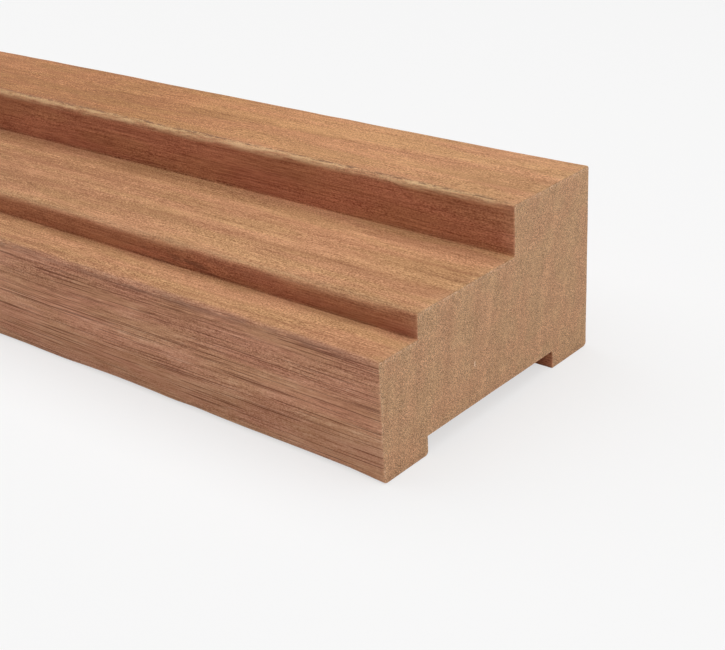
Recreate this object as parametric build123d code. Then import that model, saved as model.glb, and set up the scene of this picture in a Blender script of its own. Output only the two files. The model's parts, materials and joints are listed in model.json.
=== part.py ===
"""Window frame profile: one length of moulded hardwood stock for window and door frames.

The piece lies as it does on a bench: its two feet down, the sash rebate facing up.
X runs along the grain, Y from the outdoor face (negative) to the room face (positive)
and Z up from the underside of the feet. The origin is at the middle of the length and
of the width, on the plane that the feet rest on. All sizes are in millimetres.
"""
from build123d import *
import os

# Overall size of the planed timber
overall_length = 2150.0
overall_width = 114.0
overall_height = 67.0

# The room-side land stands above the sash rebate
room_land_width = 44.5
sash_rebate_depth = 17.5

# The outdoor side steps down once more to a narrow outer land
outer_land_width = 18.5
outer_step_height = 8.5

# The underside has a wide shallow groove between two feet
front_foot_width = 22.0
rear_foot_width = 22.0
groove_depth = 6.5

# Rounded arrises: fullest under the two outer sides, lighter on top, only just eased in the groove
lower_arris_radius = 3.0
upper_arris_radius = 2.0
step_arris_radius = 2.0
front_groove_arris_radius = 1.5
rear_groove_arris_radius = 0.5

# Places worked out from the sizes above
front_y = -overall_width / 2
back_y = overall_width / 2
front_groove_y = front_y + front_foot_width
rear_groove_y = back_y - rear_foot_width
step_wall_y = front_y + outer_land_width
rebate_wall_y = back_y - room_land_width
rebate_floor_z = overall_height - sash_rebate_depth
outer_land_z = rebate_floor_z - outer_step_height

# Corners of the section as (y, z, arris radius), from the front foot round to the outer land
section_corners = [
    (front_y, 0.0, lower_arris_radius),
    (front_groove_y, 0.0, front_groove_arris_radius),
    (front_groove_y, groove_depth, 0.0),
    (rear_groove_y, groove_depth, 0.0),
    (rear_groove_y, 0.0, rear_groove_arris_radius),
    (back_y, 0.0, lower_arris_radius),
    (back_y, overall_height, upper_arris_radius),
    (rebate_wall_y, overall_height, step_arris_radius),
    (rebate_wall_y, rebate_floor_z, 0.0),
    (step_wall_y, rebate_floor_z, step_arris_radius),
    (step_wall_y, outer_land_z, 0.0),
    (front_y, outer_land_z, upper_arris_radius),
]


def moulded_section():
    """The cross-section in the YZ plane, with an arc at every eased arris."""
    outline = Polyline([(y, z) for y, z, radius in section_corners], close=True)
    section = make_face(outline)
    for y, z, radius in section_corners:
        if radius > 0:
            corner = section.vertices().sort_by_distance(Vector(y, z))[0]
            section = fillet(corner, radius)
    return Plane.YZ * section


def frame_profile():
    """The section carried straight along the grain, half the length to each side."""
    return extrude(moulded_section(), amount=overall_length / 2, both=True)


profile = frame_profile()
profile.label = "frame_profile"

os.makedirs("parts", exist_ok=True)
export_step(profile, "parts/frame_profile.step")

print("section area", round(moulded_section().area, 1), "mm2")
print("volume", round(profile.volume / 1e6, 3), "litres")
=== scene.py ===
# %% [markdown]
# # A length of moulded hardwood for a window frame
#
# This scene dresses one piece of stock: a planed timber, 67 by 114 mm in section, with a deep sash
# rebate, a shallow outer step, a groove underneath and a sawn end. The frame below is the measured
# model. It is loaded first, so every later size can be read from it instead of being typed again.

import json
import math

import bpy
import numpy as np
from mathutils import Matrix, Vector
from mathutils.geometry import delaunay_2d_cdt


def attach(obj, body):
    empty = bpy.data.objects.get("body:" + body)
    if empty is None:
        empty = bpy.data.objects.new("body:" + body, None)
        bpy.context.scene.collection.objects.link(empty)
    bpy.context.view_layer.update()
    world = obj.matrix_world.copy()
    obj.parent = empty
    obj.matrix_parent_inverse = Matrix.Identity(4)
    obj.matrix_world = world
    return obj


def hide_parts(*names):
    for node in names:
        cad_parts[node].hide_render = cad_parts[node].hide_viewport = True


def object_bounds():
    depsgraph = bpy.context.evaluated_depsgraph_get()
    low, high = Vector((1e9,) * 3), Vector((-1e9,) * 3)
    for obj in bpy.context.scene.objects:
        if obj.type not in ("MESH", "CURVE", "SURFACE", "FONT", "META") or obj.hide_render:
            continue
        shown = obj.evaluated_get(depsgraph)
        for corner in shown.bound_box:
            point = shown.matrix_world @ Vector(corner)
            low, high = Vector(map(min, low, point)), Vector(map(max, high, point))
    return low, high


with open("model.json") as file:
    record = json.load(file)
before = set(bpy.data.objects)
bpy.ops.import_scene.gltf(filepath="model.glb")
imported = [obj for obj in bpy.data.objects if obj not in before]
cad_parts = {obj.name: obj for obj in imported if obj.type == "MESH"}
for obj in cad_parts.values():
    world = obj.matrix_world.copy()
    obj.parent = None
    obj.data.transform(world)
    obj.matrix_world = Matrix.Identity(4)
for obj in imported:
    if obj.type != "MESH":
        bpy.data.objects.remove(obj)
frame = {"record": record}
cad_low, cad_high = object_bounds()
MM = 0.001
half_length = cad_high.x
print("measured box in mm:", [round(v / MM, 1) for v in cad_high - cad_low])

# %% [markdown]
# ## The camera
#
# The photographer stood in front of the sawn end, a little above it, and held the camera slightly
# askew. A camera is three directions and a place. The directions come from an azimuth, an elevation
# and a roll; the place is found by walking back from a known point of the object. Writing the matrix
# ourselves keeps the roll exact, which a Track To constraint would lose.

# %% Camera at the photograph's viewing angle
IMAGE_WIDTH = 725
FOCAL_PIXELS = 1418.3
CAMERA_AZIMUTH = math.radians(40.94)
CAMERA_ELEVATION = math.radians(25.22)
CAMERA_ROLL = math.radians(-3.24)
SENSOR_WIDTH = 36.0
aim_point = Vector((half_length, 0.0, 33 * MM))
aim_in_camera = Vector((41.13, 2.26, 448.97)) * MM


def camera_directions(azimuth, elevation, roll):
    """Right, up and forward. Forward looks down by the elevation; right is level, then rolled."""
    flat = math.cos(elevation)
    forward = Vector((-math.sin(azimuth) * flat, math.cos(azimuth) * flat, -math.sin(elevation)))
    level_right = forward.cross(Vector((0, 0, 1))).normalized()
    level_up = level_right.cross(forward)
    right = math.cos(roll) * level_right + math.sin(roll) * level_up
    up = math.cos(roll) * level_up - math.sin(roll) * level_right
    return right, up, forward


right, up, forward = camera_directions(CAMERA_AZIMUTH, CAMERA_ELEVATION, CAMERA_ROLL)
place = aim_point - aim_in_camera.x * right - aim_in_camera.y * up - aim_in_camera.z * forward
turn = Matrix((right, up, -forward)).transposed()

camera_data = bpy.data.cameras.new("photo_camera")
camera_data.sensor_width = SENSOR_WIDTH
camera_data.lens = FOCAL_PIXELS / IMAGE_WIDTH * SENSOR_WIDTH
camera_data.clip_start = 0.01
camera_data.clip_end = 100.0
camera = bpy.data.objects.new("photo_camera", camera_data)
camera.matrix_world = Matrix.Translation(place) @ turn.to_4x4()
bpy.context.scene.collection.objects.link(camera)
bpy.context.scene.camera = camera
print("lens in mm:", round(camera_data.lens, 1), "place in mm:", [round(v / MM) for v in place])

# %% [markdown]
# ## Light and floor
#
# The photograph has the light of a packshot: one very large soft source overhead and a white table.
# Faces that look up are brightest, the outer side is lit mostly by the table, and the rebate walls
# only see the wood in front of them, which turns them a deep red brown. So the scene has one long
# soft lamp, a weak card beside the sawn end, a faint even world and a white table, and the colours
# are left to bounce by themselves. The finish paints part of this light and shade into the wood as
# well: a paler copy of it on the outer sides and a darker, redder one on the rebate walls.

# %% Helpers that add one shader node and one material
def put(tree, kind, inputs=None, **settings):
    """A new node of that kind. Inputs given as sockets are linked, and the others are set."""
    node = tree.nodes.new(kind)
    for name, value in settings.items():
        setattr(node, name, value)
    for name, value in (inputs or {}).items():
        if isinstance(value, bpy.types.NodeSocket):
            tree.links.new(value, node.inputs[name])
        else:
            node.inputs[name].default_value = value
    return node


def new_finish(name):
    """A new material whose node tree is still empty."""
    material = bpy.data.materials.new(name)
    material.use_nodes = True
    material.node_tree.nodes.clear()
    return material


# %% Soft lamp over the whole length
LAMP_HEIGHT = 1.8
LAMP_LENGTH = 7.4
LAMP_WIDTH = 3.0
LAMP_WATTS = 99.0
LAMP_PLACE = (0.6, 0.0, LAMP_HEIGHT)
lamp_data = bpy.data.lights.new("overhead_softbox", "AREA")
lamp_data.shape = "RECTANGLE"
lamp_data.size = LAMP_LENGTH
lamp_data.size_y = LAMP_WIDTH
lamp_data.energy = LAMP_WATTS
lamp = bpy.data.objects.new("overhead_softbox", lamp_data)
lamp.location = LAMP_PLACE
bpy.context.scene.collection.objects.link(lamp)
print("lamp", LAMP_LENGTH, "by", LAMP_WIDTH, "m at", LAMP_HEIGHT, "m")

# %% A weak card of light beside the sawn end
CARD_SIDE = 1.6
CARD_WATTS = 6.6
CARD_PLACE = (3.2, 0.1, 1.0)
card_data = bpy.data.lights.new("side_card", "AREA")
card_data.shape = "SQUARE"
card_data.size = CARD_SIDE
card_data.energy = CARD_WATTS
card = bpy.data.objects.new("side_card", card_data)
card.location = CARD_PLACE
card.rotation_euler = (Vector(CARD_PLACE) - aim_point).to_track_quat("Z", "Y").to_euler()
bpy.context.scene.collection.objects.link(card)
print("card", CARD_SIDE, "m wide,", round((Vector(CARD_PLACE) - aim_point).length, 2), "m from the end")

# %% [markdown]
# A photographer whitens the background with light that never reaches the object. Here the world and
# the table ask what kind of ray is looking. Rays that show the background find white. All others
# find a faint world and plain matt paint, so nothing extra falls on the timber. The table is only
# partly white to those rays, because the rest of it has to show the timber's shadow.

# %% World: white to look at, faint as a light
WORLD_STRENGTH = 0.08


def shows_background(tree):
    """1 for rays that show the background itself: seen directly, in a reflection or through glass."""
    rays = put(tree, "ShaderNodeLightPath").outputs
    either = put(tree, "ShaderNodeMath", {0: rays["Is Camera Ray"], 1: rays["Is Glossy Ray"]},
                 operation="MAXIMUM").outputs[0]
    return put(tree, "ShaderNodeMath", {0: either, 1: rays["Is Transmission Ray"]},
               operation="MAXIMUM").outputs[0]


world = bpy.data.worlds.new("white_room")
world.use_nodes = True
tree = world.node_tree
tree.nodes.clear()
dim = put(tree, "ShaderNodeBackground", {"Color": (1, 1, 1, 1), "Strength": WORLD_STRENGTH})
bright = put(tree, "ShaderNodeBackground", {"Color": (1, 1, 1, 1), "Strength": 1.0})
share = shows_background(tree)
mix = put(tree, "ShaderNodeMixShader", {0: share, 1: dim.outputs[0], 2: bright.outputs[0]})
put(tree, "ShaderNodeOutputWorld", {"Surface": mix.outputs[0]})
bpy.context.scene.world = world
print("world strength as a light:", WORLD_STRENGTH)

# %% White table that keeps the shadow
FLOOR_HALF = 20.0
FLOOR_WHITE = 0.84
FLOOR_GLOW = 0.62
corners = [(-FLOOR_HALF, -FLOOR_HALF, 0), (FLOOR_HALF, -FLOOR_HALF, 0),
           (FLOOR_HALF, FLOOR_HALF, 0), (-FLOOR_HALF, FLOOR_HALF, 0)]
floor_mesh = bpy.data.meshes.new("white_table")
floor_mesh.from_pydata(corners, [], [(0, 1, 2, 3)])
floor = bpy.data.objects.new("white_table", floor_mesh)
bpy.context.scene.collection.objects.link(floor)

floor_paint = new_finish("matt_white")
tree = floor_paint.node_tree
matt = put(tree, "ShaderNodeBsdfDiffuse", {"Color": (FLOOR_WHITE,) * 3 + (1,)})
glow = put(tree, "ShaderNodeEmission", {"Color": (1, 1, 1, 1), "Strength": 1.0})
share = put(tree, "ShaderNodeMath", {0: shows_background(tree), 1: FLOOR_GLOW},
            operation="MULTIPLY").outputs[0]
mix = put(tree, "ShaderNodeMixShader", {0: share, 1: matt.outputs[0], 2: glow.outputs[0]})
put(tree, "ShaderNodeOutputMaterial", {"Surface": mix.outputs[0]})
floor_mesh.materials.append(floor_paint)

bpy.context.scene.view_settings.view_transform = "Standard"
print("table paint:", FLOOR_WHITE, "white to look at:", FLOOR_GLOW)

# %% [markdown]
# ## The section
#
# Everything about this timber is in its section: the moulder's cutters draw one outline and carry it
# along the grain. The outline's places are read from the measured faces of the frame. Each outer
# corner is eased with an arc, because a sharp arris on hardwood splinters and sheds its paint. Every
# corner is a row of its y, its z, its arris radius and how pale that arris is painted: partly rubbed
# wear and partly painted highlight, where the rounded arris catches the light. A paleness below 0
# paints that arris darker instead, as painted shade.

# %% Section corners, read from the frame's measured faces
faces = {mount["name"]: mount["pos_m"] for mount in frame["record"]["mounts"]}
hollows = {hole["name"]: hole["box_m"] for hole in frame["record"]["physics"]["openings"]}
OPENING_GAP = 0.5 * MM
LOWER_ARRIS = 3.0 * MM
UPPER_ARRIS = 2.0 * MM
STEP_ARRIS = 2.0 * MM
FRONT_GROOVE_ARRIS = 1.5 * MM
REAR_GROOVE_ARRIS = 0.5 * MM

front_y = cad_low.y
back_y = cad_high.y
top_z = cad_high.z
land_z = faces["outer_land_face"][2]
step_y = faces["outer_step_wall"][1]
floor_z = faces["sash_rebate_floor"][2]
wall_y = faces["sash_rebate_wall"][1]
groove_z = faces["groove_ceiling"][2]
groove_front_y = hollows["wall_groove"][0][1] - OPENING_GAP
groove_back_y = hollows["wall_groove"][1][1] + OPENING_GAP

section_corners = [
    (front_y, 0.0, LOWER_ARRIS, 0.2),
    (groove_front_y, 0.0, FRONT_GROOVE_ARRIS, 0.0),
    (groove_front_y, groove_z, 0.0, 0.0),
    (groove_back_y, groove_z, 0.0, 0.0),
    (groove_back_y, 0.0, REAR_GROOVE_ARRIS, 0.0),
    (back_y, 0.0, LOWER_ARRIS, 0.2),
    (back_y, top_z, UPPER_ARRIS, 0.3),
    # The top arris of the sash rebate wall is palest: rubbed wear and painted highlight.
    (wall_y, top_z, STEP_ARRIS, 1.0),
    (wall_y, floor_z, 0.0, 0.0),
    (step_y, floor_z, STEP_ARRIS, 0.25),
    (step_y, land_z, 0.0, 0.0),
    # The front arris of the outer land is painted darker: painted shade where it turns from the light.
    (front_y, land_z, UPPER_ARRIS, -0.6),
]
corner_places = np.array([(y, z) for y, z, radius, paleness in section_corners])
corner_radii = np.array([radius for y, z, radius, paleness in section_corners])
corner_paleness = np.array([paleness for y, z, radius, paleness in section_corners])
print("section corners in mm:", np.round(corner_places / MM, 1).tolist())

# %% [markdown]
# A hand could trace the outline once and repeat it, but the arrises of a real timber aren't equally
# round all along: handling wears them. So each outline point is written as a rule instead of a
# place. It is a fixed place plus, for every corner, that corner's radius times a direction. Then one
# matrix product gives the outline for any set of radii, and the radii may change along the length.

# %% The outline as a rule on its corner radii
ARC_STEPS = 8
FLAT_STEP = 9.0 * MM
SHOULDER = 1.0 * MM
RUB_AND_LIGHT_START, RUB_AND_LIGHT_SPAN = 0.08, 0.72


def outline_rule():
    """Base places, directions for each corner's radius, normals, arris weights, corners, arc starts.
    On an arc, t from 0 to 1: point = corner + radius * (n(t) - n_in - n_out), n(t) turning evenly.
    Its arris weight is sin(pi * (start + span * t)): the pale rub and painted highlight, or the
    painted shade, are full past the middle and weak at both ends.
    On a flat from corner a to b, s from 0 to 1: a mix of a's arc end and b's arc start, each with a
    short shoulder beyond it, so that smooth shading turns within the arc and the flat stays flat."""
    total = len(corner_places)
    ahead = np.roll(corner_places, -1, axis=0) - corner_places
    runs = np.linalg.norm(ahead, axis=1)
    along = ahead / runs[:, None]
    outward = np.column_stack((along[:, 1], -along[:, 0]))
    base, reach, normals, weights, owners, starts = [], [], [], [], [], []
    for k in range(total):
        n_in, n_out = outward[k - 1], outward[k]
        steps = ARC_STEPS if corner_radii[k] > 0 else 0
        t = np.linspace(0, 1, steps + 1) if steps else np.array([0.5])
        turned = np.cos(t * math.pi / 2)[:, None] * n_in + np.sin(t * math.pi / 2)[:, None] * n_out
        pull = np.zeros((len(t), total, 2))
        if steps:
            pull[:, k] = turned - n_in - n_out
        base.append(np.repeat(corner_places[k:k + 1], len(t), axis=0))
        reach.append(pull)
        normals.append(turned)
        weights.append(np.sin(math.pi * (RUB_AND_LIGHT_START + RUB_AND_LIGHT_SPAN * t)) if steps else np.zeros(1))
        owners.append(np.full(len(t), k))
        starts.append((t == 0) & (steps > 0))
        after = (k + 1) % total
        s = np.linspace(0, 1, max(2, int(round(runs[k] / FLAT_STEP)) + 1))[:, None]
        start = corner_places[k] + SHOULDER * along[k]
        stop = corner_places[after] - SHOULDER * along[k]
        pull = np.zeros((len(s), total, 2))
        pull[:, k] = (1 - s) * along[k]
        pull[:, after] = -s * along[k]
        base.append((1 - s) * start + s * stop)
        reach.append(pull)
        normals.append(np.repeat(outward[k:k + 1], len(s), axis=0))
        weights.append(np.zeros(len(s)))
        owners.append(np.full(len(s), k))
        starts.append(np.zeros(len(s), dtype=bool))
    return tuple(np.concatenate(part) for part in (base, reach, normals, weights, owners, starts))


outline_base, outline_reach, outline_normals, arris_weight, corner_of, arris_start = outline_rule()
print("outline points:", len(outline_base))

# %% [markdown]
# ## The timber
#
# The profile is carried along X. Radii wander along the length, so that the arrises look handled and
# not machined, and they tighten towards the sawn ends, which were cut after the moulding. At each end
# the outline also shrinks by a few tenths of a millimetre, unevenly, because a saw leaves a slightly
# ragged, broken edge. Each end is closed with a mesh of triangles fine enough for a real nick.

# %% Smooth random values along a line
def wandering(x, wavelength, seed):
    """Random heights at even steps, joined by half cosine waves: values between -1 and 1."""
    i = np.floor((x - x.min()) / wavelength).astype(int)
    f = (x - x.min()) / wavelength - i
    heights = np.random.default_rng(seed).uniform(-1, 1, i.max() + 2)
    rise = (1 - np.cos(np.pi * f)) / 2
    return heights[i] * (1 - rise) + heights[i + 1] * rise


# %% Carry the outline along the grain
STATION_STEP = 4.5 * MM
END_RINGS = np.array([(0.0, 0.38), (0.12, 0.16), (0.35, 0.04), (0.8, 0.0)]) * MM
HANDLED_FROM = 2.0 * MM
TIGHTENING = 14.0 * MM
TIGHTEST = 0.55
SLOW_WEAR, SLOW_WAVE = 0.22, 37 * MM
QUICK_WEAR, QUICK_WAVE = 0.14, 11 * MM
SLOW_SEED, QUICK_SEED, RAGGED_SEED = 40, 80, 11
RAGGED_LEAST = 0.5


def stations():
    """Places along X and the outline's inset there: rings close to both ends, even steps between."""
    near, inset = END_RINGS.T
    inner = half_length - near[-1]
    middle = np.linspace(-inner, inner, int(2 * inner / STATION_STEP) + 1)[1:-1]
    x = np.concatenate((-half_length + near, middle, (half_length - near)[::-1]))
    return x, np.concatenate((inset, np.zeros(len(middle)), inset[::-1]))


def radii_along(x):
    """Radius(x, corner) = own radius * (1 + slow and quick wear) * tightening, on handled arrises."""
    tight = TIGHTEST + (1 - TIGHTEST) * np.clip((half_length - np.abs(x)) / TIGHTENING, 0, 1)
    radii = np.repeat(corner_radii[None, :], len(x), axis=0)
    for k in np.flatnonzero(corner_radii >= HANDLED_FROM):
        slow = wandering(x, SLOW_WAVE, SLOW_SEED + k)
        quick = wandering(x, QUICK_WAVE, QUICK_SEED + k)
        radii[:, k] *= (1 + SLOW_WEAR * slow + QUICK_WEAR * quick) * tight
    return radii


station_x, station_inset = stations()
station_radii = radii_along(station_x)
rings, ring_size = len(station_x), len(outline_base)
ragged = np.random.default_rng(RAGGED_SEED).uniform(RAGGED_LEAST, 1.0, (rings, ring_size))
section_yz = outline_base + np.einsum("jkc,ik->ijc", outline_reach, station_radii)
section_yz -= (station_inset[:, None] * ragged)[:, :, None] * outline_normals
body = np.dstack((np.repeat(station_x[:, None], ring_size, axis=1), section_yz))
print("stations:", rings, "points:", rings * ring_size)

# %% [markdown]
# The sawn face is flat but for one nick, about two millimetres long, where something has bruised the
# fibres. Points are scattered over the section on an even grid, more closely round the nick, and a
# Delaunay triangulation joins them to the last ring. Fanning the ring to one centre would be
# simpler, but its long thin triangles shade badly and have nowhere to put the dent.

# %% Close an end with a mesh of triangles
CAP_STEP = 3.0 * MM
CAP_MARGIN = 2.3 * MM
NICK_AT = np.array((front_y + 47.3 * MM, 20.8 * MM))
NICK_HALF = np.array((0.5, 1.1)) * MM
NICK_DEPTH = 0.5 * MM
NICK_PATCH = 1.6 * MM
NICK_POINTS = 13
JOIN_WITHIN = 1e-8


def plateau(d):
    """1 well inside and 0 from d = 1 outwards: 1.5 * (1 - d), kept between 0 and 1."""
    return np.clip(1.5 * (1 - d), 0, 1)


def nick_shape(yz):
    """A plateau of the squared distance from the nick's middle, in half sizes of the nick."""
    return plateau((((yz - NICK_AT) / NICK_HALF) ** 2).sum(axis=-1))


def inside_section(yz, margin):
    """Whether each point lies in the section, at least the margin from every side."""
    y, z = yz.T
    over_groove = (y > groove_front_y - margin) & (y < groove_back_y + margin)
    bottom = np.where(over_groove, groove_z, 0.0)
    top = np.where(y < step_y + margin, land_z, np.where(y < wall_y + margin, floor_z, top_z))
    return (y > front_y + margin) & (y < back_y - margin) & (z > bottom + margin) & (z < top - margin)


def lattice(ys, zs):
    """Every pair of a y and a z, as rows."""
    return np.stack(np.meshgrid(ys, zs), -1).reshape(-1, 2)


even = lattice(np.arange(front_y, back_y, CAP_STEP), np.arange(0, top_z, CAP_STEP))
even = even[inside_section(even, CAP_MARGIN) & (np.abs(even - NICK_AT) > CAP_MARGIN).any(axis=1)]
patch = np.linspace(-NICK_PATCH, NICK_PATCH, NICK_POINTS)
cap_loose = np.concatenate((even, NICK_AT + lattice(patch, patch)))


def cap_triangles(ring):
    """Triangles inside the ring, between its points, numbered first, and the loose points."""
    flat = [Vector(p) for p in np.concatenate((ring, cap_loose))]
    edges = [(k, (k + 1) % len(ring)) for k in range(len(ring))]
    made = delaunay_2d_cdt(flat, edges, [], 1, JOIN_WITHIN)
    assert len(made[0]) == len(flat), "a point was lost or added in the cap"
    return np.array([list(face) for face in made[2]])


caps = {"right": cap_triangles(section_yz[-1]), "left": cap_triangles(section_yz[0])}
print("triangles on each sawn end:", [len(c) for c in caps.values()])

# %% Build the timber's mesh
LONG_GRAIN, END_GRAIN = 0, 1


def timber_mesh():
    """The swept grid's quads, then the two caps. A cap shares its ring's points with the sweep."""
    loose = len(cap_loose)
    dent = nick_shape(cap_loose) * NICK_DEPTH
    right = np.column_stack((half_length - dent, cap_loose))
    left = np.column_stack((np.full(loose, -half_length), cap_loose))
    points = np.concatenate((body.reshape(-1, 3), right, left))
    i, j = np.meshgrid(np.arange(rings - 1), np.arange(ring_size), indexing="ij")
    here, beside = i * ring_size + j, i * ring_size + (j + 1) % ring_size
    quads = np.stack((here, beside, beside + ring_size, here + ring_size), -1).reshape(-1, 4)
    last, loose_start = (rings - 1) * ring_size, rings * ring_size
    tri = caps["right"]
    right_faces = np.where(tri < ring_size, last + tri, loose_start + tri - ring_size)
    tri = caps["left"][:, ::-1]
    left_faces = np.where(tri < ring_size, tri, loose_start + loose + tri - ring_size)
    mesh = bpy.data.meshes.new("moulded_timber")
    mesh.from_pydata(points.tolist(), [], quads.tolist() + right_faces.tolist() + left_faces.tolist())
    kinds = np.repeat((LONG_GRAIN, END_GRAIN), (len(quads), len(right_faces) + len(left_faces)))
    mesh.polygons.foreach_set("material_index", kinds.astype(np.int32))
    mesh.update()
    return mesh


timber = timber_mesh()
print("vertices:", len(timber.vertices), "faces:", len(timber.polygons))

# %% [markdown]
# ## What the finish has to know
#
# Some numbers are stored at every point for the finish to read. They are mesh attributes, so they
# stay with the surface in any view and in the exported model. The first ones tell the faces apart,
# and one normal per outline point is enough for that. The two outer sides get a paler, greyer copy
# of the wood, which is painted light from the white table. The rebate walls that face the front get
# a darker, redder copy, which is painted shade with the red bounce of the wood around them.

# %% Store which faces get painted light and which get painted shade
SIDE_BAND = 5.0 * MM


def store(name, values, at_caps=0.0):
    """A number on each point: spread over the sweep's rings and outline points, then over the caps."""
    swept = np.broadcast_to(values, (rings, ring_size)).ravel()
    loose = np.broadcast_to(at_caps, 2 * len(cap_loose))
    attribute = timber.attributes.new(name, "FLOAT", "POINT")
    attribute.data.foreach_set("value", np.concatenate((swept, loose)).astype(np.float32))


faces_front, faces_up = -outline_normals[:, 0], outline_normals[:, 1]
on_sides = np.abs(outline_base[:, 0]) > back_y - SIDE_BAND
aired = np.where(on_sides, np.abs(outline_normals[:, 0]), 0)
sheltered = np.where(on_sides, 0, np.clip(2 * faces_front - 1, 0, 1))
store("upright", 1 - np.abs(faces_up))
store("aired", aired)
store("sheltered", sheltered)
print("outline points on the outer sides:", int(on_sides.sum()))

# %% [markdown]
# The next ones tell of handling and of the painted light on the arrises. An arris is paler where it
# is roundest: partly rubbed wear and partly painted highlight. The front arris of the outer land is
# darker instead, as painted shade. Torn fibres leave a thin line on the brink where its arc starts.
# The saw leaves a paler rim at both ends, and the nick shows fresh wood.

# %% Store the wear, and the painted highlight and shade on the arrises
LEAST_ROUND = 0.3
LOOKS_UP = 0.9
RIM_REACH = 1.6 * MM
roundness = station_radii / np.where(corner_radii > 0, corner_radii, 1)
arris_rub_and_light = arris_weight * np.clip((roundness[:, corner_of] - LEAST_ROUND) / (1 - LEAST_ROUND), 0, 1)
brink_start = arris_start & (faces_up > LOOKS_UP)
brink = brink_start | np.roll(brink_start, 1) | np.roll(brink_start, 2)
rim = np.clip(1 - (half_length - np.abs(station_x)) / RIM_REACH, 0, 1)
store("worn_arris", arris_rub_and_light * corner_paleness[corner_of])
store("brink", brink * np.clip(corner_paleness[corner_of], 0, 1))
store("sawn_rim", rim[:, None])
store("nick", 0.0, np.concatenate((nick_shape(cap_loose), np.zeros(len(cap_loose)))))
print("rings within the sawn rims:", int((rim > 0).sum()))

# %% [markdown]
# The last ones let the colour change over a hand's breadth, as it does on the real piece. The tone
# drifts along the lands, most on the upper one, and the lower lands are a little darker. Each outer
# side is painted lighter at its foot than at its top: painted light that evens out the light, which
# is stronger at the top of the side than at its foot. Away from the sawn ends the upper land turns a
# little darker and more orange. A dark stain sits on the wall of the outer step, about ten
# centimetres from the end, and fainter blots of it run all along.

# %% Store how the colour drifts, and the painted light on the outer sides
DRIFT_WAVE = 160 * MM
DRIFT_SEED = 153
LOW_SHADE = 0.8
SIDE_LEAN = 0.75
ORANGER_REACH = 180 * MM
UPPER_LAND = 0.9
STAIN_FROM_END, STAIN_HALF = 104 * MM, 24 * MM
STAIN_ELSEWHERE = 0.15
height = outline_base[:, 1] / top_z
wander = wandering(station_x, DRIFT_WAVE, DRIFT_SEED)[:, None]
on_lands = wander * height ** 2 - LOW_SHADE * (1 - height)
side_top = np.where(outline_base[:, 0] < 0, land_z, top_z)
# Painted light: each outer side lighter towards its foot, to even out the light on it.
painted_side_light = SIDE_LEAN * (0.5 - outline_base[:, 1] / side_top)
from_ends = np.clip((half_length - np.abs(station_x)) / ORANGER_REACH, 0, 1)
off_stain = np.abs(half_length - station_x - STAIN_FROM_END) / STAIN_HALF
stain = STAIN_ELSEWHERE + (1 - STAIN_ELSEWHERE) * plateau(off_stain)
store("drift", on_lands * np.clip(faces_up, 0, 1) + painted_side_light * aired)
store("ripe", from_ends[:, None] * (height > UPPER_LAND) * np.clip(faces_up, 0, 1))
store("stained", stain[:, None] * sheltered * (outline_base[:, 1] < floor_z))
print("attributes:", [a.name for a in timber.attributes if a.data_type == "FLOAT"])

# %% Shade smoothly, except along the square inner corners and the sawn edges
SHARP_ANGLE = math.radians(40)
timber.shade_smooth()
timber.set_sharp_from_angle(angle=SHARP_ANGLE)

# %% [markdown]
# ## Wood as a solid
#
# A painted-on picture of grain breaks at every corner. Real grain runs through the timber: the same
# growth layers and pores make long streaks on the sides and specks on the sawn end. So the patterns
# are solid noise in millimetres, squeezed across the grain and stretched along X, and both
# finishes read the same space. Slow noise bends it a little, because no tree is perfectly straight.
# Both finishes are built from the same small steps, so those come first.

# %% Small steps on shader values
def calc(tree, operation, a, b=0.0, c=0.0):
    """One arithmetic step on sockets or numbers."""
    return put(tree, "ShaderNodeMath", {0: a, 1: b, 2: c}, operation=operation).outputs[0]


def total_of(tree, *terms):
    """The sum of each value's distance from a half times its weight, around a half."""
    value = 0.5
    for source, weight in terms:
        centred = calc(tree, "SUBTRACT", source, 0.5)
        value = calc(tree, "MULTIPLY_ADD", centred, weight, value)
    return value


def remap(tree, value, low, high, new_low=0.0, new_high=1.0):
    """The value's stretch from low to high, laid smoothly over the new one."""
    return put(tree, "ShaderNodeMapRange", {"Value": value, "From Min": low, "From Max": high,
                                            "To Min": new_low, "To Max": new_high},
               interpolation_type="SMOOTHSTEP").outputs["Result"]


def reading(tree, name):
    """A number stored on the mesh's points."""
    return put(tree, "ShaderNodeAttribute", attribute_name=name).outputs["Fac"]


def weighted(tree, base, **shares):
    """The base, plus each stored number that is named, times its share."""
    for name, share in shares.items():
        base = calc(tree, "MULTIPLY_ADD", reading(tree, name), share, base)
    return base


# %% Small steps on colours
HUE_LOW, HUE_HIGH = 0.35, 0.65


def mixed(tree, share, a, b, blend_type="MIX"):
    """Colour a, turning to colour b, or to the blend of both, by the share."""
    return put(tree, "ShaderNodeMix", {0: share, 6: a, 7: b}, data_type="RGBA",
               blend_type=blend_type).outputs[2]


def laid_over(tree, wood, colour, share, strength, blend_type="MIX"):
    """The wood with a colour over it, as far as the share times the strength says."""
    return mixed(tree, calc(tree, "MULTIPLY", share, strength), wood, colour, blend_type)


def tinted(tree, wood, hue, tint, other_tint):
    """The wood times a tint, which turns from one to the other as the hue's noise rises."""
    turning = mixed(tree, remap(tree, hue, HUE_LOW, HUE_HIGH), tint, other_tint)
    return mixed(tree, 1.0, wood, turning, "MULTIPLY")


def ramp(tree, value, stops):
    """A colour for each value, from stops of a place and its colour."""
    node = put(tree, "ShaderNodeValToRGB", {0: value})
    elements = node.color_ramp.elements
    while len(elements) < len(stops):
        elements.new(0.5)
    for element, (place, colour) in zip(elements, stops):
        element.position = place
        element.color = (*colour, 1)
    return node.outputs[0]


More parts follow.
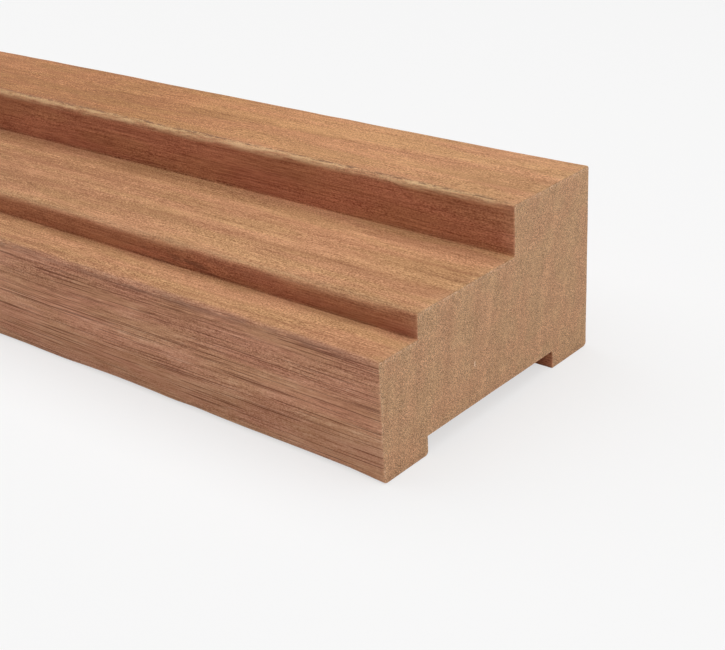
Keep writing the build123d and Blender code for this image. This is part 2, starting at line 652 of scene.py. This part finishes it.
def matt_wood(tree, wood, rough, gloss, relief, strength, depth):
    """Ends the tree in a rough surface of that colour, with the relief as a bump of that depth."""
    bump = put(tree, "ShaderNodeBump", {"Height": relief, "Strength": strength, "Distance": depth})
    surface = put(tree, "ShaderNodeBsdfPrincipled",
                  {"Base Color": wood, "Roughness": rough, "Specular IOR Level": gloss,
                   "Normal": bump.outputs[0]})
    put(tree, "ShaderNodeOutputMaterial", {"Surface": surface.outputs[0]})


# %% The timber's inner space and the noises in it
BEND = 6.0
BEND_LENGTH, BEND_WIDTH = 300, 60


def grain_space(tree):
    """Object coordinates in mm, moved across the grain by slow noise."""
    place = put(tree, "ShaderNodeTexCoord").outputs["Object"]
    mm = put(tree, "ShaderNodeMapping", {"Vector": place, "Scale": (1000, 1000, 1000)}).outputs[0]
    squeeze = (1 / BEND_LENGTH, 1 / BEND_WIDTH, 1 / BEND_WIDTH)
    slow = put(tree, "ShaderNodeMapping", {"Vector": mm, "Scale": squeeze}).outputs[0]
    bend = put(tree, "ShaderNodeTexNoise", {"Vector": slow, "Scale": 1.0, "Detail": 1.0}).outputs["Color"]
    centred = put(tree, "ShaderNodeVectorMath", {0: bend, 1: (0.5, 0.5, 0.5)}, operation="SUBTRACT")
    shift = put(tree, "ShaderNodeVectorMath", {0: centred.outputs[0], 1: (0, BEND, BEND)},
                operation="MULTIPLY")
    return put(tree, "ShaderNodeVectorMath", {0: mm, 1: shift.outputs[0]}, operation="ADD").outputs[0]


def noise(tree, space, length, width, detail=2.0, roughness=0.5, start=0.0):
    """Noise with features of that length along the grain and that width across it, in mm."""
    where = put(tree, "ShaderNodeMapping", {"Vector": space, "Location": (start, start, start),
                                            "Scale": (1 / length, 1 / width, 1 / width)}).outputs[0]
    return put(tree, "ShaderNodeTexNoise", {"Vector": where, "Scale": 1.0, "Detail": detail,
                                            "Roughness": roughness}).outputs["Fac"]


# %% [markdown]
# A tree's layers are rings round its heart, and this timber was cut a third of a metre away from it.
# Distance from the heart is therefore one number that every face can read: it gives nearly straight
# bands on the lands and slightly leaning arcs on the sawn end. A few layers are plainly darker in
# the photograph. Each is a row of where it comes out, as mm from the front and mm of height, then its
# half width in mm and how dark it is. The last row is painted shade: a dark band on the rebate floor
# by the foot of the sash wall. The fourth row makes the front face darker towards its foot.

# %% Growth layers
HEART_Y, HEART_Z = 330.0, -25.0
LAYER_SPACING = 4.2
FINE_SPACING = 1.3
# The last row is painted shade along the foot of the sash rebate wall.
DARK_LAYERS_AND_SHADE = ((50.0, 49.5, 1.6, 0.8), (35.0, 49.5, 2.4, 0.7), (9.5, 41.0, 1.3, 0.8),
               (0.5, 3.0, 1.5, 0.7), (18.0, 45.0, 3.5, 0.4), (63.0, 49.5, 6.0, 0.35))


def heart_distance(tree, space):
    """Distance from the tree's heart, which runs along X outside the timber, in mm."""
    from_heart = put(tree, "ShaderNodeMapping", {"Vector": space, "Location": (0, -HEART_Y, -HEART_Z)})
    across = put(tree, "ShaderNodeVectorMath", {0: from_heart.outputs[0], 1: (0, 1, 1)},
                 operation="MULTIPLY")
    return put(tree, "ShaderNodeVectorMath", {0: across.outputs[0]}, operation="LENGTH").outputs["Value"]


def layering(tree, distance, spacing):
    """Soft bands at uneven spacing: noise along the distance."""
    step = calc(tree, "DIVIDE", distance, spacing)
    return put(tree, "ShaderNodeTexNoise", {"W": step, "Scale": 1.0, "Detail": 2.0, "Roughness": 0.6},
               noise_dimensions="1D").outputs["Fac"]


def dark_layers_and_shade(tree, distance):
    """1 on the darkest layers and on the painted shade: each is a smooth bump over the distance, of its
    own width.
    """
    shade = 0.0
    for from_front, height, width, depth in DARK_LAYERS_AND_SHADE:
        y = front_y / MM + from_front
        at = math.hypot(y - HEART_Y, height - HEART_Z)
        off = calc(tree, "ABSOLUTE", calc(tree, "SUBTRACT", distance, at))
        shade = calc(tree, "MAXIMUM", shade, remap(tree, off, width, 0.0, 0.0, depth))
    return shade


# %% [markdown]
# ## Planed long grain
#
# Fresh planed hardwood of this kind is a pinkish tan, flecked and streaked at many sizes at once. One
# could paint each size as a colour of its own, but then every change of shade would need many
# colours again. Here the sizes are summed to one number, the tone, around a half. Each has a weight,
# and some weights differ from face to face: upright faces show more lines and fewer specks.

# %% Tone of the planed wood
DRIFT_AND_LIGHT_DEPTH = 0.20


def planed_tone(tree, space, distance, lines, specks):
    """A half, plus each noise's distance from a half times its weight, plus the stored drift and painted
    light.
    """
    bands = noise(tree, space, 900, 13)
    figure = noise(tree, space, 24, 8, start=7.0)
    layers = layering(tree, distance, LAYER_SPACING)
    streaks = noise(tree, space, 110, 1.2, roughness=0.6, start=41.0)
    dashes = noise(tree, space, 7, 0.45, roughness=0.6, start=17.0)
    patches = noise(tree, space, 60, 9, detail=1, start=51.0)
    flecked = calc(tree, "MULTIPLY_ADD", patches, 4.0, 0.7)
    tone = total_of(tree, (bands, weighted(tree, 0.45, upright=-0.20)),
                    (figure, 0.4),
                    (layers, 0.3),
                    (streaks, weighted(tree, 0.15, aired=0.05)),
                    (lines, weighted(tree, 0.5, upright=0.5, aired=-0.2)),
                    (dashes, weighted(tree, 1.0, aired=-0.1)),
                    (specks, weighted(tree, flecked, upright=-1.2, aired=-0.4)))
    return weighted(tree, tone, drift=DRIFT_AND_LIGHT_DEPTH)


# %% [markdown]
# Three ramps turn the tone into colour: tan on the lands, a paler, greyer copy on the outer sides,
# which is painted light from the white table, and a darker deep red copy on the rebate walls, which
# is painted shade with the red bounce of the wood. A slow tint, between rose and straw, keeps broad
# areas from being one flat hue.

# %% Colour of the planed wood
TAN_STOPS = ((0.0, (0.250, 0.113, 0.052)), (0.5, (0.488, 0.252, 0.127)), (1.0, (0.750, 0.415, 0.222)))
# A paler, greyer copy for the outer sides: painted light.
LIT_SIDE_STOPS = ((0.0, (0.265, 0.090, 0.048)), (0.5, (0.630, 0.312, 0.183)), (1.0, (0.870, 0.542, 0.364)))
# A darker, redder copy for the rebate walls: painted shade.
SHADED_WALL_STOPS = ((0.0, (0.240, 0.070, 0.036)), (0.5, (0.520, 0.204, 0.111)), (1.0, (0.742, 0.338, 0.182)))
# Laid over the upper land away from the sawn ends: a little darker and more orange.
ORANGER_TINT = (0.985, 0.905, 0.800, 1)
ROSE = (1.030, 0.983, 1.005, 1)
STRAW = (0.982, 1.006, 0.950, 1)
# Brown of the dark layers, and of the painted shade by the sash wall.
LAYER_AND_SHADE_BROWN = (0.300, 0.120, 0.060, 1)


def planed_colour(tree, space, distance, tone):
    """Three ramps, two of them painted light and shade, then the oranger land, the tint, dark layers and
    shade.
    """
    wood = mixed(tree, reading(tree, "aired"), ramp(tree, tone, TAN_STOPS), ramp(tree, tone, LIT_SIDE_STOPS))
    wood = mixed(tree, reading(tree, "sheltered"), wood, ramp(tree, tone, SHADED_WALL_STOPS))
    wood = mixed(tree, reading(tree, "ripe"), wood, ORANGER_TINT, "MULTIPLY")
    wood = tinted(tree, wood, noise(tree, space, 40, 7, 1, 0.4, 21.0), STRAW, ROSE)
    return laid_over(tree, wood, LAYER_AND_SHADE_BROWN, dark_layers_and_shade(tree, distance), 0.45)


# %% [markdown]
# The wood's large pores show as fine dark lines that fade in and out along the grain. They are the
# deep valleys of two long thin noises, so they have sharp sides where the noise itself is soft. They
# are plainest on the outer sides. The pores are dents as well, so the bump will read the same lines.

# %% Pores
PORE_BROWN = (0.150, 0.040, 0.022, 1)
PORE_EDGE, PORE_MIDDLE = 0.37, 0.31


def pore_lines(tree, space):
    """1 in the middle of a pore, 0 at its edge, which is a little wider on the outer sides."""
    edge = weighted(tree, PORE_EDGE, aired=0.025)
    fine = remap(tree, noise(tree, space, 38, 0.42, 1, 0.5, 5.0), edge, PORE_MIDDLE)
    long = remap(tree, noise(tree, space, 95, 0.5, 2, 0.5, 11.0), edge, PORE_MIDDLE)
    return calc(tree, "MAXIMUM", fine, long)


# %% [markdown]
# A timber that has been stacked and carried has marks, and its arrises carry painted highlight and
# shade as well. Each one here is the number stored for its place times a ragged noise, so it stays
# where it belongs and has no ruled edge. Rubbed wood and painted highlight are laid over with Screen,
# which lightens the grain without hiding it as a plain mix would.

# %% Rubbed wood with painted highlight, painted shade, torn and stained wood
# Pale wear, and the painted highlight on the rounded arrises.
PALE_WEAR_AND_HIGHLIGHT = (0.440, 0.290, 0.150, 1)
# Painted shade, laid on the front arris of the outer land.
PAINTED_ARRIS_SHADE = (0.270, 0.140, 0.095, 1)
TORN_BROWN = (0.190, 0.095, 0.055, 1)
STAIN_BROWN = (0.110, 0.050, 0.030, 1)


def with_wear_and_painted_light(tree, space, wood):
    """The wood under its marks: rubbed arrises with painted highlight, painted shade on one arris,
    torn brink, sawn rim and stained wall.
    """
    arris_rub_and_light = reading(tree, "worn_arris")
    rubbed_and_highlit = calc(tree, "MAXIMUM", arris_rub_and_light, 0.0)
    arris_shade_share = calc(tree, "MAXIMUM", calc(tree, "MULTIPLY", arris_rub_and_light, -1.0), 0.0)
    patchy = remap(tree, noise(tree, space, 10, 1.3, 3, 0.7, 27.0), 0.40, 0.56, 0.35, 1.0)
    torn = remap(tree, noise(tree, space, 4, 0.7, 3, 0.75, 31.0), 0.48, 0.56, 0.0, 0.85)
    blots = remap(tree, noise(tree, space, 11, 2.2, 3, 0.65, 61.0), 0.46, 0.60, 0.0, 0.55)
    wood = laid_over(tree, wood, PALE_WEAR_AND_HIGHLIGHT, rubbed_and_highlit, patchy, "SCREEN")
    wood = laid_over(tree, wood, PAINTED_ARRIS_SHADE, arris_shade_share, patchy)
    wood = laid_over(tree, wood, TORN_BROWN, reading(tree, "brink"), torn)
    wood = laid_over(tree, wood, PALE_WEAR_AND_HIGHLIGHT, reading(tree, "sawn_rim"), 0.2, "SCREEN")
    return laid_over(tree, wood, STAIN_BROWN, reading(tree, "stained"), blots)


# %% Long grain finish
def long_grain():
    """Tone, then colour, pores and wear. Lines make it rougher, specks stand up and pores sink in."""
    material = new_finish("planed_long_grain")
    tree = material.node_tree
    space = grain_space(tree)
    distance = heart_distance(tree, space)
    lines = noise(tree, space, 55, 0.55, 3, 0.6, 3.0)
    specks = noise(tree, space, 0.8, 0.36, 2, 0.7, 13.0)
    pore = pore_lines(tree, space)
    wood = planed_colour(tree, space, distance, planed_tone(tree, space, distance, lines, specks))
    wood = laid_over(tree, wood, PORE_BROWN, pore, weighted(tree, 0.25, aired=0.45))
    wood = with_wear_and_painted_light(tree, space, wood)
    rough = calc(tree, "MULTIPLY_ADD", lines, 0.25, 0.55)
    relief = calc(tree, "SUBTRACT", calc(tree, "MULTIPLY", specks, 0.6), pore)
    matt_wood(tree, wood, rough, 0.08, relief, 0.4, 0.12 * MM)
    return material


# %% [markdown]
# ## Sawn end grain
#
# Across the grain the same pores are dots, a third of a millimetre wide and close together, with pale
# fibre ends between them, and the growth layers cross the face as faint upright stripes. A saw
# leaves the face duller and slightly greyer than the planed sides, and chips its rim. The dots are
# the valleys of one noise and the fibre ends are the hills of another, so the two lie apart at random.

# %% End grain finish
END_STOPS = ((0.0, (0.270, 0.152, 0.088)), (0.5, (0.570, 0.328, 0.187)), (1.0, (0.860, 0.520, 0.310)))
END_ROSE = (1.030, 0.984, 0.960, 1)
END_STRAW = (0.985, 1.004, 0.960, 1)
END_PORE = (0.170, 0.090, 0.050, 1)
FIBRE_PALE = (0.880, 0.600, 0.400, 1)
NICK_PALE = (0.940, 0.740, 0.560, 1)


def end_tone(tree, space, distance, specks):
    """A half, plus each noise's distance from a half times its weight. Some patches are more flecked."""
    mottle = noise(tree, space, 60, 7.0)
    layers = layering(tree, distance, LAYER_SPACING)
    fine_layers = layering(tree, distance, FINE_SPACING)
    grit = noise(tree, space, 20, 0.9, roughness=0.6, start=4.0)
    patches = noise(tree, space, 40, 6.0, detail=1, start=51.0)
    flecked = calc(tree, "MULTIPLY_ADD", patches, 5.0, 0.8)
    return total_of(tree, (mottle, 0.3), (layers, 0.25), (fine_layers, 0.13), (grit, 0.28),
                    (specks, flecked))


def end_grain():
    """Tone, then colour, dots, fibre ends, chips at the rim and the nick. Specks stand up, dots sink."""
    material = new_finish("sawn_end_grain")
    tree = material.node_tree
    space = grain_space(tree)
    distance = heart_distance(tree, space)
    specks = noise(tree, space, 20, 0.34, 2, 0.7, 13.0)
    dots = remap(tree, noise(tree, space, 24, 0.38, 2, 0.5, 5.0), 0.43, 0.33)
    pale = remap(tree, noise(tree, space, 24, 0.36, 2, 0.5, 9.0), 0.58, 0.68)
    chips = remap(tree, noise(tree, space, 20, 0.7, 2, 0.6, 25.0), 0.53, 0.63)
    rim = calc(tree, "POWER", reading(tree, "sawn_rim"), 4.0)
    wood = ramp(tree, end_tone(tree, space, distance, specks), END_STOPS)
    wood = tinted(tree, wood, noise(tree, space, 60, 10, 1, 0.4, 21.0), END_STRAW, END_ROSE)
    wood = laid_over(tree, wood, LAYER_AND_SHADE_BROWN, dark_layers_and_shade(tree, distance), 0.2)
    wood = laid_over(tree, wood, END_PORE, dots, 0.55)
    wood = laid_over(tree, wood, FIBRE_PALE, pale, 0.55)
    wood = laid_over(tree, wood, FIBRE_PALE, rim, chips)
    wood = mixed(tree, reading(tree, "nick"), wood, NICK_PALE)
    matt_wood(tree, wood, 0.85, 0.1, calc(tree, "SUBTRACT", specks, dots), 0.5, 0.2 * MM)
    return material


timber.materials.append(long_grain())
timber.materials.append(end_grain())
print("materials:", [m.name for m in timber.materials])

# %% [markdown]
# ## Put the piece in place
#
# The dressed timber stands for the measured solid, which is hidden, and moves with its body.

# %% Link the timber to its body and hide the measured part
piece = bpy.data.objects.new("moulded_timber", timber)
bpy.context.scene.collection.objects.link(piece)
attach(piece, "root")
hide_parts("frame_profile")
